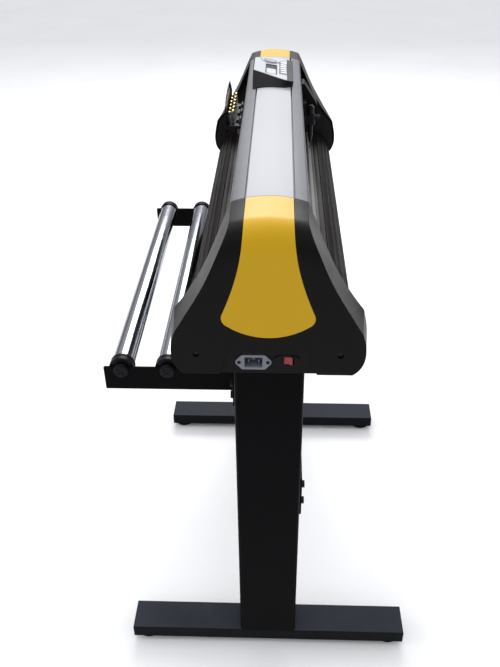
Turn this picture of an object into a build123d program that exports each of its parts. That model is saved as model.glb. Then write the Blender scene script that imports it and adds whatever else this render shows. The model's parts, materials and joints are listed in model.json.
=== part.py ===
from build123d import *
import os
from math import acos, atan, atan2, cos, hypot, pi, sin

# Roll-media cutter on a floor stand.  Millimetres.
# X runs along the machine (left end = mains inlet, -X; right end = control panel, +X).
# -Y is the operator's side, +Y the roll-holder side, +Z is up.  Origin: floor, under the middle.

# ---------------------------------------------------------------- driving dimensions
LENGTH = 930.0            # over both end caps
CROWN_Z = 981.0           # top of the cover, on the centre line
SHOULDER_Y = 50.0         # half width of the crowned top
SHOULDER_Z = 973.0
CORNER_Z = 829.0          # height of the flank's lower corner on an end cap
CAP_FOOT = 62.0           # cap length below the flank corner
CAP_TOP = 100.0           # cap length on the crown
CAP_WALL = 3.0
INLAY = 1.6               # thickness of the coloured inlays
BODY_BOTTOM = 759.5       # underside of the bottom pan = top of the legs
PLATEN_Z = 806.0          # media surface
PLATEN_Y = 84.0           # half width of the platen
BEAM_BOTTOM = 884.0
BEAM_SIDE = 52.5          # half width of the beam's top flange
BEAM_CORE = 34.0          # half width of the beam's box
FLANGE_Z = 955.0          # underside of the beam's top flange
COVER_Y = 31.0            # half width of the cover plate
GROOVE = 2.2              # shadow gap beside the cover plate
GROOVE_Z = 972.5          # bottom of that gap
PLATE_X = 399.6           # inner face of the steel end plates
PLATE_T = 3.0

FOOT_L = 545.0            # foot beam, along Y
FOOT_W = 63.0             # foot beam, along X
FOOT_TOP = 42.0
FOOT_BOTTOM = 14.0
LEG_X = 330.0             # leg centre from the middle
LEG_W = 62.0              # along X
LEG_D = 109.0             # along Y
SHEET = 2.5               # sheet thickness of the stand
PAD_Y = 245.5             # levelling pads from the middle
PAD_R = 24.5
STRETCHER_Z = (368.0, 449.0)
STRETCHER_T = 3.5
BOLT_Z = (383.0, 423.0)
ARM_BOLT_Z = (622.0, 646.0)

ARM_Z = (613.0, 657.0)    # roll-holder arms
ARM_END = 269.5
ARM_X = 305.0             # inner face of an arm
ARM_T = 3.0
ROLLER_Y = (165.5, 240.5)
ROLLER_Z = 652.0
ROLLER_R = 18.5
COLLAR_R = 20.5
COLLAR_L = (13.6, 5.0)    # collar length at the left and right ends
DISC = ((12.3, 4.0), (19.5, 7.0))  # end discs outside the arms: radius and thickness
SHAFT_R = 8.0

GRIT_Y = -35.0            # feed roller axis
GRIT_R = 9.0
GRIT_Z = PLATEN_Z + 0.5 - GRIT_R
GRIT_ZONES = [(-345, -235), (-190, -100), (-45, 45), (90, 148), (170, 298)]
RAIL_Z = (900.0, 912.0)
BELT_Z = 935.0            # carriage belt axis height
BELT_X = 427.0            # carriage belt pulleys from the middle
BELT_R = 5.9
FEED_R = 20.0
FEED_MOTOR = (32.5, 784.0)
FEED_MOTOR_R = 7.0
MOTOR = 35.0

CARRIAGE_X = 300.0
TOOL_X = 280.0
TOOL_Y = -76.0
TOOL_LIFT = 4.5           # blade tip above the platen when raised

PINCH_X = [186.2, 231.6, 277.0]
HEAD_X = (160.2, 304.0)    # ends of the pinch head
PIVOT = (30.0, 866.0)     # pinch arm pivot, (Y, Z)
WHEEL_R = 8.0
WHEEL_Z = PLATEN_Z + 0.5 + 0.4 + WHEEL_R
HINGE = (84.0, 886.0)     # lift handle hinge, (Y, Z)

PANEL_SLOPE = atan(14.0 / 78.0)
PANEL_Z = 995.8           # face height on the centre line
KEY_COUNT = 6
KEY_X0 = 183.0
KEY_PITCH = 14.0
KEY_V = -17.0
PAD_BUTTON = (258.0, 8.0)
WINDOW = (168.0, 232.0, -3.5, 15.5)
BAND_V = -25.0            # front edge of the face plate, measured up the slope

INLET = (19.6, 783.2)     # mains inlet centre, (Y, Z)
ROCKER = (-28.0, 785.5)
BEZEL_Y = -24.4           # centre of the oval bezel round the rocker
NOTCH_DEPTH = 4.5          # plug-bay floor, from the plane of the foot of the face
PLATE_BACK = 8.5           # back of the switch plate that makes that floor
FACE_LEAN = 6.0 / 170.5    # how far the outer face leans in, per mm of height
SCREW_Y = 96.5
SCREW_Z = 796.0
FACE_X = -LENGTH / 2

CROWN_R = (SHOULDER_Y**2 + (CROWN_Z - SHOULDER_Z) ** 2) / (2 * (CROWN_Z - SHOULDER_Z))
AXIS_Z = CROWN_Z - CROWN_R # axis of the crown
ROLL_R = 112.0            # radius at which the outer face starts to roll over
ROLL_FROM = 866.0         # lowest height of the roll-over

os.makedirs("parts", exist_ok=True)


# ---------------------------------------------------------------- helpers
def box(x0, x1, y0, y1, z0, z1):
    """Axis-aligned box between two corners."""
    centre = ((x0 + x1) / 2, (y0 + y1) / 2, (z0 + z1) / 2)
    return Pos(*centre) * Box(x1 - x0, y1 - y0, z1 - z0)


def rod_x(r, x0, x1, y, z):
    return Pos((x0 + x1) / 2, y, z) * Rot(0, 90, 0) * Cylinder(r, x1 - x0)


def rod_y(r, y0, y1, x, z):
    return Pos(x, (y0 + y1) / 2, z) * Rot(90, 0, 0) * Cylinder(r, y1 - y0)


def rod_z(r, z0, z1, x, y):
    return Pos(x, y, (z0 + z1) / 2) * Cylinder(r, z1 - z0)


def along_x(edges, x0, x1):
    """Solid from a closed (Y, Z) outline swept from x0 to x1."""
    return extrude(Plane.YZ.offset(x0) * make_face(edges), x1 - x0)


def along_y(edges, y0, y1):
    """Solid from a closed (X, Z) outline swept from y0 to y1."""
    return extrude(Plane.XZ.offset(-y1) * make_face(edges), y1 - y0)


def polygon(points):
    return Polyline(*points, close=True).edges()


def strap(c1, r1, c2, r2):
    """Closed outline round two circles, as a belt lies."""
    d = hypot(c2[0] - c1[0], c2[1] - c1[1])
    phi = atan2(c2[1] - c1[1], c2[0] - c1[0])
    beta = acos((r1 - r2) / d)

    def at(c, r, a):
        return (c[0] + r * cos(a), c[1] + r * sin(a))

    up1, up2 = at(c1, r1, phi + beta), at(c2, r2, phi + beta)
    dn1, dn2 = at(c1, r1, phi - beta), at(c2, r2, phi - beta)
    return [
        Line(up1, up2),
        ThreePointArc(up2, at(c2, r2, phi), dn2),
        Line(dn2, dn1),
        ThreePointArc(dn1, at(c1, r1, phi + pi), up1),
    ]


def both_ends(part):
    return mirror(part, about=Plane.YZ)


# ---------------------------------------------------------------- end caps
def crown_z(half, drop=0.0):
    """Height of the crown at a given half width."""
    return AXIS_Z + ((CROWN_R - drop) ** 2 - half**2) ** 0.5


def cap_outline(x, inset=0.0):
    """Cap section at distance x from the middle of the left end, shrunk by inset."""
    t = (x - FACE_X) / CAP_FOOT
    i = inset
    crown = (0, CROWN_Z - i)
    half = SHOULDER_Y - 1 + t - 0.85 * i
    shoulder = (half, crown_z(half, i))
    flank = [
        (57 + t - 0.91 * i, 956 - 0.41 * i),
        (66.5 + t - 0.91 * i, 935 - 0.41 * i),
        (80 + t - 0.9 * i, 905 - 0.44 * i),
        (100 + 1.5 * t - 0.87 * i, 869 - 0.5 * i),
    ]
    corner = (124 + 6.5 * t - i, CORNER_Z + 2 * t - 0.3 * i)
    bulge = [(129.8 + 7.2 * t - i, 806 - 11 * t), (127 + 6 * t - 0.9 * i, 781 - 12 * t + 0.4 * i)]
    foot = (114 + 6 * t - 0.3 * i, 765 - 10 * t + i)

    def left(p):
        return (-p[0], p[1])

    return [
        ThreePointArc(left(shoulder), crown, shoulder),
        Spline(shoulder, *flank, corner),
        Spline(corner, *bulge, foot),
        Line(foot, left(foot)),
        Spline(left(foot), *[left(p) for p in reversed(bulge)], left(corner)),
        Spline(left(corner), *[left(p) for p in reversed(flank)], left(shoulder)),
    ]


def lean_x(z):
    """X of the left cap's inner rim at height z, above the flank corner."""
    share = (z - CORNER_Z) / (CROWN_Z - CORNER_Z)
    return FACE_X + CAP_FOOT + share * (CAP_TOP - CAP_FOOT)


def face_x(z):
    """X of the left cap's leaning outer face at height z."""
    return FACE_X + FACE_LEAN * (z - BODY_BOTTOM)


def side_outline(inset=0.0, open_inside=False):
    """Cap seen from the front, before its outer face rolls over onto the crown."""
    low, high = BODY_BOTTOM - 30, CROWN_Z + 2
    outer = [(face_x(low) + inset, low), (face_x(high) + inset, high)]
    if open_inside:
        inner = [(FACE_X + 140, high), (FACE_X + 140, low)]
    else:
        inner = [(lean_x(high), high), (FACE_X + CAP_FOOT, CORNER_Z), (FACE_X + CAP_FOOT, low)]
    return polygon(outer + inner)


def roll_over(inset=0.0):
    """Everything that the rounded upper part of the outer face would cut away."""
    lean = atan(FACE_LEAN)
    origin = (face_x(AXIS_Z), 0, AXIS_Z)
    plane = Plane(origin=origin, x_dir=(cos(lean), 0, -sin(lean)), z_dir=(0, -1, 0))
    run, rise = FACE_X + 41 - origin[0], CROWN_R + 0.02
    end = (run * cos(lean) - rise * sin(lean), run * sin(lean) + rise * cos(lean))
    i = inset
    start, stop = (i - 0.05, ROLL_R - i), (end[0], end[1] - i)
    far = (stop[0] + 130, stop[1] + 130 * FACE_LEAN + 0.3)
    profile = [
        Spline(start, stop, tangents=[(0, 1), (1, FACE_LEAN)]),
        *Polyline(stop, far, (far[0], 0), (start[0], 0), start).edges(),
    ]
    dome = revolve(plane * make_face(profile), Axis(origin, (cos(lean), 0, -sin(lean))), 360)
    return box(FACE_X - 5, FACE_X + 135, -140, 140, ROLL_FROM, CROWN_Z + 5) - dome


def cap_solid(inset=0.0, open_inside=False):
    x0 = FACE_X + (inset if open_inside else 0)
    x1 = FACE_X + (130 if open_inside else CAP_TOP + 2)
    sections = [Plane.YZ.offset(x) * make_face(cap_outline(x, inset)) for x in (x0, x1)]
    body = loft(sections, ruled=True)
    body &= along_y(side_outline(inset, open_inside), -200, 200)
    return body - roll_over(inset)


def inlay_prism(gap=0.0):
    """Vase-shaped outline of the coloured inlay, swept along X."""
    g = gap
    low, tip, side = (54 + g, 840 - g), (60.4 + g, 847), (60.5 + g, 857)
    rise = [(47.5 + g, 891), (37.2 + g, 929), (32.4 + g, 962)]
    top = (31 + g, 1000)

    def left(p):
        return (-p[0], p[1])

    edges = [
        ThreePointArc(left(low), (0, 823 - g), low),
        ThreePointArc(low, tip, side),
        Spline(side, *rise, top),
        Line(top, left(top)),
        Spline(left(top), *[left(p) for p in reversed(rise)], left(side)),
        ThreePointArc(left(side), left(tip), left(low)),
    ]
    return along_x(edges, FACE_X - 5, FACE_X + CAP_TOP + 20)


def notch_outline(grow=0.0, low=700.0):
    """Plug bay seen from the end: its sides spread towards the open bottom."""
    g, top = grow, 797.5 + grow
    spread = 56 + g + (top - low) * 11 / 36
    return polygon([(-56 - g, top), (56 + g, top), (spread, low), (-spread, low)])


def cap_and_inlay():
    """Left-hand shell with its recesses, and the inlay that fills the face recess."""
    outer = cap_solid()
    cavity = cap_solid(CAP_WALL, True)
    cavity -= box(FACE_X, FACE_X + PLATE_BACK, -76, 76, 700, 805)
    for y in (-SCREW_Y, SCREW_Y):
        cavity -= rod_x(7.0, FACE_X, FACE_X + 16, y, SCREW_Z)
    skin = outer - cap_solid(INLAY, True)
    inlay = skin & inlay_prism()
    shell = outer - cavity - (skin & inlay_prism(0.5))
    for y in (-SCREW_Y, SCREW_Y):
        shell -= rod_x(4.2, FACE_X - 1, FACE_X + 7, y, SCREW_Z)
        shell -= rod_x(2.0, FACE_X, FACE_X + 18, y, SCREW_Z)
    return shell, inlay


def cap_left(shell):
    """Left cap: the plug bay is open for the switch plate."""
    return shell - along_x(notch_outline(), FACE_X - 1, FACE_X + PLATE_BACK + 0.1)


def cap_right(shell):
    """Right cap: the same moulding with a closed bay."""
    return both_ends(shell - along_x(notch_outline(), FACE_X - 1, FACE_X + NOTCH_DEPTH))


def switch_plate():
    """Floor of the plug bay with the inlet's cut-out, the rocker's oval bezel and its housing."""
    x0, x1 = FACE_X + NOTCH_DEPTH, FACE_X + PLATE_BACK
    plate = along_x(notch_outline(-0.15, 764.2), x0, x1)
    y, z = INLET
    plate -= box(x0 - 1, x1 + 1, y - 14.0, y + 14.0, z - 10.2, z + 10.2)
    y, z = ROCKER
    bezel = Plane.YZ.offset(x0 - 1.6) * Pos(BEZEL_Y, z) * Ellipse(18.2, 10.4)
    plate += extrude(bezel, 1.6) + box(x0, x0 + 14, y - 7.9, y + 7.9, z - 7.4, z + 7.4)
    plate -= box(x0 - 3, x0 + 11, y - 6.8, y + 6.8, z - 6.3, z + 6.3)
    return plate - rod_z(1.05, z - 7.0, z + 7.0, x0 + 3, y)


def rocker():
    """Red rocker, one end pressed in, turning on a vertical pin."""
    y, z = ROCKER
    x = FACE_X + NOTCH_DEPTH + 3
    v = [(-5.9, -3), (-5.6, -4.9), (0, -3.7), (5.6, -4.9), (5.9, -3), (4.4, 3.6), (-4.4, 3.6)]
    key = extrude(Plane.XY.offset(z - 5.9) * make_face(polygon([(b, a) for a, b in v])), 11.8)
    return Pos(x, y, 0) * Rot(0, 0, -10) * key + rod_z(1.0, z - 6.9, z + 6.9, x, y)


def inlet_socket():
    """Three-pin appliance inlet with an eared flange."""
    y, z = INLET
    back = FACE_X + NOTCH_DEPTH
    front = back - 2.4
    ears = [(26, 0), (15.5, 11.7), (-15.5, 11.7), (-26, 0), (-15.5, -11.7), (15.5, -11.7)]
    flange = along_x(polygon([(y + a, z + b) for a, b in ears]), front, back)
    flange = fillet(flange.edges().filter_by(Axis.X), 5)
    body = flange + box(back, back + 18, y - 13.8, y + 13.8, z - 10, z + 10)
    body -= box(front - 1, back + 15, y - 12, y + 12, z - 8.2, z + 8.2)
    for dy, dz in ((-7, -2), (0, 2), (7, -2)):
        body += box(back + 4, back + 16, y + dy - 1, y + dy + 1, z + dz - 2, z + dz + 2)
    for dy in (-19.5, 19.5):
        body -= rod_x(1.7, front - 1, back + 1, y + dy, z)
    return body


# ---------------------------------------------------------------- stand
def foot(x):
    """Inverted steel channel with a threaded boss near each end."""
    y1, inner = FOOT_L / 2, SHEET
    beam = box(x - FOOT_W / 2, x + FOOT_W / 2, -y1, y1, FOOT_BOTTOM, FOOT_TOP)
    beam = fillet(beam.edges().group_by(Axis.Z)[-1], 2)
    beam -= box(
        x - FOOT_W / 2 + inner, x + FOOT_W / 2 - inner, -y1 + inner, y1 - inner, 0, FOOT_TOP - inner
    )
    beam += box(x - 22, x + 22, -45, 45, FOOT_BOTTOM + 8, FOOT_TOP - inner)
    for y in (-PAD_Y, PAD_Y):
        beam += rod_z(12, FOOT_BOTTOM + 2, FOOT_TOP - inner, x, y)
        beam -= rod_z(4.1, 0, FOOT_TOP - inner - 2, x, y)
    return beam


def levelling_pads():
    pads = []
    for x in (-LEG_X, LEG_X):
        for y in (-PAD_Y, PAD_Y):
            disc = rod_z(PAD_R, 0, 9, x, y)
            disc = chamfer(disc.edges().group_by(Axis.Z)[-1], 2)
            pads.append(disc + rod_z(4, 8, 34, x, y))
    return Compound(pads)


def leg(x):
    """Rounded sheet-steel column, closed top and bottom, with a middle web."""
    w, d = LEG_W / 2, LEG_D / 2
    column = box(x - w, x + w, -d, d, FOOT_TOP, BODY_BOTTOM)
    column = fillet(column.edges().filter_by(Axis.Z), 6)
    for y0, y1 in ((-d + SHEET, -SHEET / 2), (SHEET / 2, d - SHEET)):
        column -= box(x - w + SHEET, x + w - SHEET, y0, y1, FOOT_TOP + 5, BODY_BOTTOM - 3)
        column -= rod_z(9, BODY_BOTTOM - 5, BODY_BOTTOM + 1, x, (y0 + y1) / 2)
    for z in BOLT_Z:
        column -= rod_y(4.2, -d - 1, -d + 6, x, z)
    for z in ARM_BOLT_Z:
        column -= rod_y(4.2, d - 6, d + 1, x, z)
    return column


def crossbar():
    """Pressed stretcher: a plate bolted across the front of both legs, with stiffening flanges."""
    y0 = -LEG_D / 2 - STRETCHER_T
    z0, z1 = STRETCHER_Z
    inside = LEG_X - LEG_W / 2 - 1
    bar = box(-LEG_X - 20, LEG_X + 20, y0, -LEG_D / 2, z0, z1)
    for z in (z0, z1 - STRETCHER_T):
        bar += box(-inside, inside, -LEG_D / 2, -LEG_D / 2 + 22, z, z + STRETCHER_T)
    for x in (-LEG_X, LEG_X):
        for z in BOLT_Z:
            bar -= rod_y(4.2, y0 - 1, y0 + 5, x, z)
    return bar


def roll_arm(side):
    """Plate arm, folded over onto the back of a leg, with open slots that carry the rollers."""
    x0, x1, y0 = ARM_X, ARM_X + ARM_T, LEG_D / 2
    arm = box(x0, x1, y0, ARM_END, *ARM_Z)
    arm = fillet(arm.edges().filter_by(Axis.X).group_by(Axis.Y)[-1], 2)
    arm += box(x0, LEG_X + 18, y0, y0 + ARM_T, *ARM_Z)
    for y in ROLLER_Y:
        arm -= rod_x(SHAFT_R + 0.05, x0 - 1, x1 + 1, y, ROLLER_Z)
        arm -= box(x0 - 1, x1 + 1, y - SHAFT_R - 0.05, y + SHAFT_R + 0.05, ROLLER_Z, ARM_Z[1] + 1)
    for z in ARM_BOLT_Z:
        arm -= rod_y(4.2, y0 - 1, y0 + ARM_T + 1, LEG_X, z)
    return arm if side > 0 else both_ends(arm)


def media_roller(y):
    """Plated steel tube."""
    x0, x1 = -(ARM_X - 0.4 - COLLAR_L[0]), ARM_X - 0.4 - COLLAR_L[1]
    tube = rod_x(ROLLER_R, x0, x1, y, ROLLER_Z)
    return tube - rod_x(ROLLER_R - 1.5, x0 - 1, x1 + 1, y, ROLLER_Z)


def roller_plug(y, collar, disc_r, disc_t):
    """Plastic plug of a roller's right end: collar, stub shaft and end disc."""
    b, c = ARM_X - 0.4, ARM_X + ARM_T + 1
    a = b - collar
    plug = rod_x(ROLLER_R - 1.6, a - 24, a, y, ROLLER_Z)
    plug += rod_x(COLLAR_R, a, b, y, ROLLER_Z)
    if collar > 10:
        groove = rod_x(COLLAR_R + 1, a + 4, a + 6, y, ROLLER_Z)
        plug -= groove - rod_x(COLLAR_R - 1.3, a + 3, a + 7, y, ROLLER_Z)
    plug += rod_x(SHAFT_R, b, c, y, ROLLER_Z)
    disc = rod_x(disc_r, c, c + disc_t, y, ROLLER_Z)
    return plug + chamfer(disc.edges().group_by(Axis.X)[-1], 1)


def roller_ends(y):
    """The left plug has the long collar and the small disc, the right one the large disc."""
    left, right = (roller_plug(y, COLLAR_L[k], *DISC[k]) for k in (0, 1))
    return Compound([both_ends(left), right])


# ---------------------------------------------------------------- body
def crown_arc(half, drop=0.0):
    """End points and middle of the crown at a given half width."""
    z = crown_z(half) - drop
    return (-half, z), (0, CROWN_Z - drop), (half, z)


def between_rims(gap=0.9):
    """Everything between the two leaning cap rims."""
    low, high = (lean_x(CORNER_Z - 100) + gap, CORNER_Z - 100), (lean_x(1100) + gap, 1100)
    return along_y(polygon([low, high, (-high[0], high[1]), (-low[0], low[1])]), -200, 200)


def top_cover():
    """Crowned plate let into the top of the beam."""
    a, b, c = crown_arc(COVER_Y)
    d, e, f = crown_arc(COVER_Y, 2.0)
    edges = [ThreePointArc(a, b, c), Line(c, f), ThreePointArc(f, e, d), Line(d, a)]
    return along_x(edges, -420, 420) & between_rims()


def beam():
    """Aluminium extrusion: crowned top flange over a two-cell box."""
    a, b, c = crown_arc(SHOULDER_Y)
    side, core = BEAM_SIDE, BEAM_CORE
    outline = [
        ThreePointArc(a, b, c),
        ThreePointArc(c, (side - 0.6, 970.5), (side, 966.5)),
        *Polyline(
            (side, 966.5), (side, FLANGE_Z + 2), (side - 2, FLANGE_Z), (core, FLANGE_Z),
            (core, BEAM_BOTTOM), (-core, BEAM_BOTTOM), (-core, FLANGE_Z), (-side + 2, FLANGE_Z),
            (-side, FLANGE_Z + 2), (-side, 966.5),
        ).edges(),
        ThreePointArc((-side, 966.5), (-side + 0.6, 970.5), a),
    ]
    body = along_x(outline, -420, 420) & between_rims()
    core_end = PLATE_X - 0.4
    body += box(-core_end, core_end, -core, core, BEAM_BOTTOM, FLANGE_Z)
    p, q, r = crown_arc(COVER_Y + GROOVE, 2.0)
    recess = [ThreePointArc(p, q, r), Line(r, (r[0], 990)), Line((r[0], 990), (p[0], 990)),
              Line((p[0], 990), p)]
    body -= along_x(recess, -430, 430)
    for s in (-1, 1):
        gap = sorted((s * COVER_Y, s * (COVER_Y + GROOVE)))
        body -= box(-430, 430, gap[0], gap[1], GROOVE_Z, 990)
        cell = sorted((s * 1.5, s * (core - 3)))
        body -= box(-430, 430, cell[0], cell[1], BEAM_BOTTOM + 3, FLANGE_Z + 13)
        cell = sorted((s * core, s * (side - 3)))
        body -= box(-430, 430, cell[0], cell[1], FLANGE_Z + 3, FLANGE_Z + 12)
    return body


def guide_rail():
    """Linear rail on the front wall of the beam, with a groove in each edge."""
    z0, z1 = RAIL_Z
    rail = box(-362, 362, -44, -BEAM_CORE, z0, z1)
    for z in (z0, z1):
        rail -= rod_x(1.6, -365, 365, -40.5, z)
    for k in range(-5, 6):
        rail -= rod_y(3.0, -45, -41, k * 65.0, (z0 + z1) / 2)
    return rail


def platen():
    """Media table: a channel with windows for the feed roller and a groove for the cutting strip."""
    y, z = PLATEN_Y, PLATEN_Z
    bed = box(-PLATE_X, PLATE_X, -y, y, z - 3, z)
    for s in (-1, 1):
        edge = sorted((s * y, s * (y - 3)))
        bed += box(-PLATE_X, PLATE_X, edge[0], edge[1], z - 20, z - 3)
    for x0, x1 in GRIT_ZONES:
        bed -= box(x0 - 4, x1 + 4, GRIT_Y - GRIT_R - 1.2, GRIT_Y + GRIT_R + 1.2, z - 5, z + 1)
    bed -= box(-PLATE_X - 1, PLATE_X + 1, TOOL_Y - 3, TOOL_Y + 3, z - 1.2, z + 1)
    return bed


def cutting_strip():
    return box(-PLATE_X + 1, PLATE_X - 1, TOOL_Y - 2.9, TOOL_Y + 2.9, PLATEN_Z - 1.2, PLATEN_Z + 0.2)


def apron(side):
    """Ribbed extrusion that leads the media off the platen."""
    outer = [(84.5, 804.5), (101, 801.5), (115, 789), (122.4, 773), (122, BODY_BOTTOM + 2)]
    inner = [(119.5, BODY_BOTTOM + 2), (119.8, 772), (113, 787.5), (100, 799), (84.5, 801.8)]

    def place(points):
        return [(side * y, z) for y, z in points]

    curve = Spline(*place(outer))
    back = Spline(*place(inner))
    edges = [curve, Line(curve @ 1, back @ 0), back, Line(back @ 1, curve @ 0)]
    skin = along_x(edges, -PLATE_X, PLATE_X)
    for k in range(5):
        p = curve @ (0.16 + 0.17 * k)
        skin += rod_x(1.9, -PLATE_X, PLATE_X, p.X, p.Y)
    return skin


def bottom_pan():
    """Tray under the body, with cable holes over the legs."""
    pan = box(-PLATE_X, PLATE_X, -118, 118, BODY_BOTTOM, BODY_BOTTOM + 2)
    for x in (-LEG_X, LEG_X):
        for y in (-27.6, 27.6):
            pan -= rod_z(9, BODY_BOTTOM - 1, BODY_BOTTOM + 3, x, y)
    return pan


def end_plate(side):
    """Steel frame plate inside a cap, with its shaft bush and a folded tab for the belt pulley."""
    x0 = FACE_X + LENGTH / 2 - PLATE_X - PLATE_T
    plate = along_x(cap_outline(FACE_X + CAP_FOOT, 4.6), x0, x0 + PLATE_T)
    plate -= box(x0 - 1, x0 + 4, -49, -37.2, BELT_Z - 11, BELT_Z + 11)
    plate -= rod_x(8.0, x0 - 1, x0 + 4, GRIT_Y, GRIT_Z)
    tab = box(x0 - 44, x0 + PLATE_T, -37, -34.2, BELT_Z - 17, BELT_Z + 17)
    if side < 0:
        tab -= rod_y(9, -40, -30, -BELT_X, BELT_Z)
        plate += tab
    else:
        plate += tab + rod_y(2.0, -49, -36, -BELT_X, BELT_Z)
        plate -= rod_x(4.0, x0 - 1, x0 + 4, *FEED_MOTOR)
    bush = rod_x(8.0, x0, x0 + PLATE_T, GRIT_Y, GRIT_Z) + rod_x(10.0, x0 - 3, x0, GRIT_Y, GRIT_Z)
    bush -= rod_x(5.05, x0 - 5, x0 + 5, GRIT_Y, GRIT_Z)
    pair = Compound([plate, bush])
    return pair if side < 0 else both_ends(pair)


# ---------------------------------------------------------------- drives
def grit_shaft():
    """Feed shaft with rough gripping zones and its toothed pulley."""
    shaft = rod_x(5.0, -412, 424, GRIT_Y, GRIT_Z)
    for x0, x1 in GRIT_ZONES:
        shaft += rod_x(GRIT_R, x0, x1, GRIT_Y, GRIT_Z)
    pulley = rod_x(FEED_R, 412, 422, GRIT_Y, GRIT_Z)
    for k in range(6):
        a = k * pi / 3
        pulley -= rod_x(4, 411, 423, GRIT_Y + 12 * cos(a), GRIT_Z + 12 * sin(a))
    return shaft + pulley


def drive_motors():
    """Two equal stepper motors: feed, behind the right end plate, and carriage, at the left."""
    y, z = FEED_MOTOR
    h = MOTOR / 2
    feed = box(PLATE_X - 34, PLATE_X, y - h, y + h, z - h, z + h)
    feed = chamfer(feed.edges().filter_by(Axis.X), 3)
    drive = box(-BELT_X - h, -BELT_X + h, -34.2, -0.2, BELT_Z - h, BELT_Z + h)
    return Compound([feed, chamfer(drive.edges().filter_by(Axis.Y), 3)])


def feed_motor_pulley():
    y, z = FEED_MOTOR
    pulley = rod_x(2.5, PLATE_X + 0.4, 422, y, z) + rod_x(FEED_MOTOR_R, 412, 422, y, z)
    return pulley + rod_x(FEED_MOTOR_R + 2.2, 410.6, 411.8, y, z)


def feed_belt():
    gap, t = 0.35, 1.4
    c1 = (GRIT_Y, GRIT_Z)
    outer = along_x(strap(c1, FEED_R + gap + t, FEED_MOTOR, FEED_MOTOR_R + gap + t), 413, 421)
    return outer - along_x(strap(c1, FEED_R + gap, FEED_MOTOR, FEED_MOTOR_R + gap), 412, 422)


def carriage_pulley(x, hub):
    """Small belt pulley: on the motor's own shaft at the left, on a fixed pin at the right."""
    pulley = rod_y(BELT_R, -47.4, -38.4, x, BELT_Z)
    for y in (-47.4, -39.4):
        pulley += rod_y(BELT_R + 2.4, y, y + 1.0, x, BELT_Z)
    if hub:
        return pulley + rod_y(2.5, -46, -34.6, x, BELT_Z)
    return pulley - rod_y(2.05, -50, -37, x, BELT_Z)


def carriage_belt():
    gap, t = 0.3, 1.2
    a, b = (-BELT_X, BELT_Z), (BELT_X, BELT_Z)
    outer = along_y(strap(a, BELT_R + gap + t, b, BELT_R + gap + t), -46, -40)
    return outer - along_y(strap(a, BELT_R + gap, b, BELT_R + gap), -47, -39)


def control_board():
    """Circuit board on standoffs in the pan, with its larger components."""
    z = BODY_BOTTOM + 2
    board = box(-170, -10, -45, 45, z + 7, z + 8.6)
    for x in (-164, -16):
        for y in (-39, 39):
            board += rod_z(3, z, z + 7, x, y)
    for x, y, w, d, h in ((-140, -15, 26, 26, 3), (-60, 18, 40, 14, 10), (-95, 20, 14, 18, 12)):
        board += box(x, x + w, y, y + d, z + 8.6, z + 8.6 + h)
    for k in range(3):
        board += rod_z(5, z + 8.6, z + 20, -40 + 14 * k - 5, -25)
    return board


# ---------------------------------------------------------------- tool carriage
def carriage_plate():
    """Bearing block that wraps the rail, with the front plate and a clamp tab for the belt."""
    x0, x1 = CARRIAGE_X - 35, CARRIAGE_X + 35
    z0, z1 = RAIL_Z
    block = box(x0, x1, -52, -36.5, z0 - 6, z1 + 6)
    block -= box(x0 - 1, x1 + 1, -44.4, -30, z0 - 0.4, z1 + 0.4)
    plate = box(CARRIAGE_X - 38, CARRIAGE_X + 38, -56, -52, 852, 925)
    tab = box(CARRIAGE_X - 10, CARRIAGE_X + 10, -52, -48, 912, 941)
    body = block + plate + tab
    for x in (CARRIAGE_X - 31, CARRIAGE_X - 9):
        body -= rod_y(1.7, -57, -50, x, 920)
    return body


def carriage_cover():
    """Hollow hood over the carriage's drive side, sloping down to the front."""
    x0, x1 = CARRIAGE_X + 1, CARRIAGE_X + 40
    side = [(-56.2, 860), (-56.2, 941), (-62, 941), (-88, 902), (-90, 896), (-90, 872), (-84, 860)]
    hood = along_x(polygon(side), x0, x1)
    w = 2.5
    hollow = [(-50, 850), (-50, 938.5), (-61, 938.5), (-85.8, 901), (-87.5, 896), (-87.5, 873),
              (-83, 862.5), (-60, 862.5), (-60, 850)]
    return hood - along_x(polygon(hollow), x0 + w, x1 - w)


def tool_slide():
    """Vertical slide with a split clamp for the blade holder."""
    back = box(TOOL_X - 14, TOOL_X + 14, -66, -56.4, 858, 912)
    clamp = box(TOOL_X - 12, TOOL_X + 12, -85, -66, 866, 884)
    clamp = fillet(clamp.edges().filter_by(Axis.Z).group_by(Axis.Y)[0], 5)
    body = back + clamp - rod_z(5.55, 850, 900, TOOL_X, TOOL_Y)
    body -= box(TOOL_X - 0.6, TOOL_X + 0.6, -86, TOOL_Y, 865, 872)
    return body - rod_y(2.05, -86, -81.2, TOOL_X, 877)


def blade_holder():
    """Knurled swivel holder with its nose and blade."""
    tip = PLATEN_Z + TOOL_LIFT
    body = rod_z(5.5, 838, 884.2, TOOL_X, TOOL_Y) + rod_z(7.8, 884.2, 887.5, TOOL_X, TOOL_Y)
    body += rod_z(7.0, 887.5, 901, TOOL_X, TOOL_Y) + rod_z(4.2, 901, 904, TOOL_X, TOOL_Y)
    body += Pos(TOOL_X, TOOL_Y, 832) * Cone(2.2, 5.0, 12)
    body += rod_z(0.7, tip + 1, 827, TOOL_X, TOOL_Y)
    body += Pos(TOOL_X, TOOL_Y, tip + 0.5) * Cone(0.1, 0.7, 1)
    return body


def clamp_knob():
    """Fluted thumb knob that tightens the clamp."""
    knob = rod_y(7, -96, -85.6, TOOL_X, 877) + rod_y(2.0, -86, -81.6, TOOL_X, 877)
    for k in range(8):
        a = k * pi / 4
        knob -= rod_y(1.4, -97, -87.5, TOOL_X + 7.4 * cos(a), 877 + 7.4 * sin(a))
    return knob


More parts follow.
